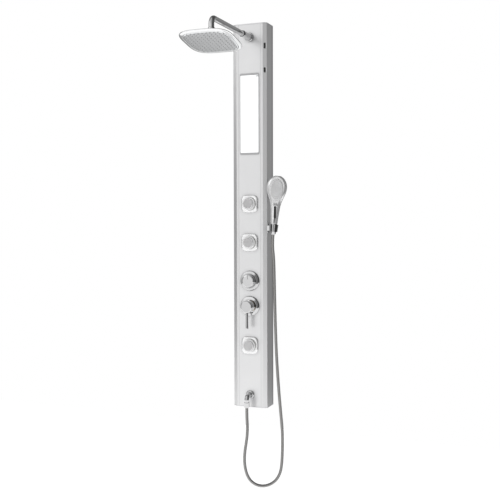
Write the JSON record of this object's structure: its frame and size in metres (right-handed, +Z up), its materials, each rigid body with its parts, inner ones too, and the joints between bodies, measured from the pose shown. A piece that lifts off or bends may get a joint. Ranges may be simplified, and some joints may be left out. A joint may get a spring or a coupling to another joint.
{
  "type": "rainfall shower column",
  "caption": "Slim aluminium wall shower column with rain head on a straight arm, narrow mirror, square body jets, diverter, lever mixer and a hose-fed hand shower.",
  "frame": {"origin": "middle of the column's bottom edge, in the wall plane", "axes": "+X to the right seen from the front, +Y into the wall, so the front faces -Y, +Z up along the column"},
  "size_m": [0.2452, 0.5376, 1.814],
  "materials": {
    "panel_aluminium": "satin brushed",
    "cap_grey": "satin",
    "bracket_steel": "plain",
    "chrome": "polished",
    "chrome_abs": "chromed plastic",
    "head_steel": "polished steel",
    "mirror": "clear mirror",
    "frame_grey": "satin",
    "silicone_grey": "matt",
    "face_grey": "satin",
    "black_plastic": "satin",
    "inner_plastic": "moulded",
    "brass": "cast",
    "black_rubber": "matt",
    "hose_steel": "interlocked metal strip"
  },
  "bodies": {
    "column": {"front_panel": "panel_aluminium", "top_cap": "cap_grey", "bottom_cap": "cap_grey", "wall_brackets": "bracket_steel", "side_plugs": "black_plastic", "mirror_frame": "frame_grey", "mirror_glass": "mirror", "arm_flange": "chrome", "arm_union": "chrome", "arm_back_nut": "brass", "shower_arm": "chrome", "ball_stud": "chrome", "jet_covers": "chrome_abs", "jet_housings": "inner_plastic", "mixer_plate": "chrome", "diverter_plate": "chrome", "mixer_body": "brass", "mixer_cartridge": "inner_plastic", "mixer_bonnet": "chrome", "diverter_body": "brass", "diverter_cartridge": "inner_plastic", "link_pipe": "brass", "riser_hose": "black_rubber", "riser_elbow": "brass", "jet_manifold": "brass", "outlet_pipe": "brass", "hot_inlet": "brass", "cold_inlet": "brass", "outlet_flange": "chrome", "outlet_elbow": "chrome", "hose_nut_lower": "chrome", "handset_holder": "chrome", "holder_screws": "bracket_steel", "shower_hose": "hose_steel"},
    "ball_seal": {"head_ball_seal": "black_rubber"},
    "ball_seat": {"head_ball_seat": "inner_plastic"},
    "rain_head": {"head_collar_nut": "chrome", "head_shell": "head_steel", "head_seal": "black_rubber", "head_face_plate": "head_steel", "head_nozzles": "silicone_grey"},
    "mixer_swivel": {"mixer_carrier": "chrome"},
    "mixer_control": {"mixer_handle": "chrome", "mixer_lever": "chrome"},
    "diverter_control": {"diverter_spindle": "brass", "diverter_knob": "chrome"},
    "hose_end": {"hose_nut_upper": "chrome"},
    "handset": {"handset_shell": "chrome_abs", "handset_spray_face": "face_grey", "handset_nozzles": "silicone_grey"},
    "spray_button": {"handset_button": "silicone_grey"},
    "jet_a_gimbal": {"jet_a_ring": "inner_plastic"},
    "jet_a_head": {"jet_a_nozzle": "chrome_abs", "jet_a_spray_pad": "silicone_grey"},
    "jet_b_gimbal": {"jet_b_ring": "inner_plastic"},
    "jet_b_head": {"jet_b_nozzle": "chrome_abs", "jet_b_spray_pad": "silicone_grey"},
    "jet_c_gimbal": {"jet_c_ring": "inner_plastic"},
    "jet_c_head": {"jet_c_nozzle": "chrome_abs", "jet_c_spray_pad": "silicone_grey"}
  },
  "joints": [
    {"name": "head_spin", "type": "hinge", "parent": "column", "child": "ball_seal", "pos_m": [0, -0.435, 1.389], "axis": [0, 0, 1], "continuous": true},
    {"name": "head_tilt", "type": "hinge", "parent": "ball_seal", "child": "ball_seat", "pos_m": [0, -0.435, 1.389], "axis": [1, 0, 0], "range_deg": [-3, 27]},
    {"name": "head_roll", "type": "hinge", "parent": "ball_seat", "child": "rain_head", "pos_m": [0, -0.435, 1.389], "axis": [0, 1, 0], "range_deg": [-15, 15]},
    {"name": "mixer_temperature", "type": "hinge", "parent": "column", "child": "mixer_swivel", "pos_m": [0, -0.075, 0.401], "axis": [0, -1, 0], "range_deg": [-45, 45]},
    {"name": "mixer_flow", "type": "hinge", "parent": "mixer_swivel", "child": "mixer_control", "pos_m": [0, -0.099, 0.401], "axis": [-1, 0, 0], "range_deg": [0, 20]},
    {"name": "diverter_turn", "type": "hinge", "parent": "column", "child": "diverter_control", "pos_m": [0, -0.075, 0.501], "axis": [0, -1, 0], "range_deg": [-90, 90]},
    {"name": "handset_lift", "type": "slide", "parent": "column", "child": "hose_end", "axis": [0.0872, 0, 0.9962], "range_m": [0, 0.12]},
    {"name": "handset_twist", "type": "hinge", "parent": "hose_end", "child": "handset", "pos_m": [0.095, -0.064, 0.708], "axis": [0.0872, 0, 0.9962], "range_deg": [0, 140]},
    {"name": "handset_button_press", "type": "slide", "parent": "handset", "child": "spray_button", "axis": [-0.261, 0.9652, -0.0157], "range_m": [0, 0.0015], "stiffness_N_per_m": 400},
    {"name": "jet_a_pan", "type": "hinge", "parent": "column", "child": "jet_a_gimbal", "pos_m": [0, -0.077, 0.803], "axis": [0, 0, 1], "range_deg": [-10, 10]},
    {"name": "jet_a_tilt", "type": "hinge", "parent": "jet_a_gimbal", "child": "jet_a_head", "pos_m": [0, -0.077, 0.803], "axis": [1, 0, 0], "range_deg": [-10, 10]},
    {"name": "jet_b_pan", "type": "hinge", "parent": "column", "child": "jet_b_gimbal", "pos_m": [0, -0.077, 0.652], "axis": [0, 0, 1], "range_deg": [-10, 10]},
    {"name": "jet_b_tilt", "type": "hinge", "parent": "jet_b_gimbal", "child": "jet_b_head", "pos_m": [0, -0.077, 0.652], "axis": [1, 0, 0], "range_deg": [-10, 10]},
    {"name": "jet_c_pan", "type": "hinge", "parent": "column", "child": "jet_c_gimbal", "pos_m": [0, -0.077, 0.246], "axis": [0, 0, 1], "range_deg": [-10, 10]},
    {"name": "jet_c_tilt", "type": "hinge", "parent": "jet_c_gimbal", "child": "jet_c_head", "pos_m": [0, -0.077, 0.246], "axis": [1, 0, 0], "range_deg": [-10, 10]}
  ]
}
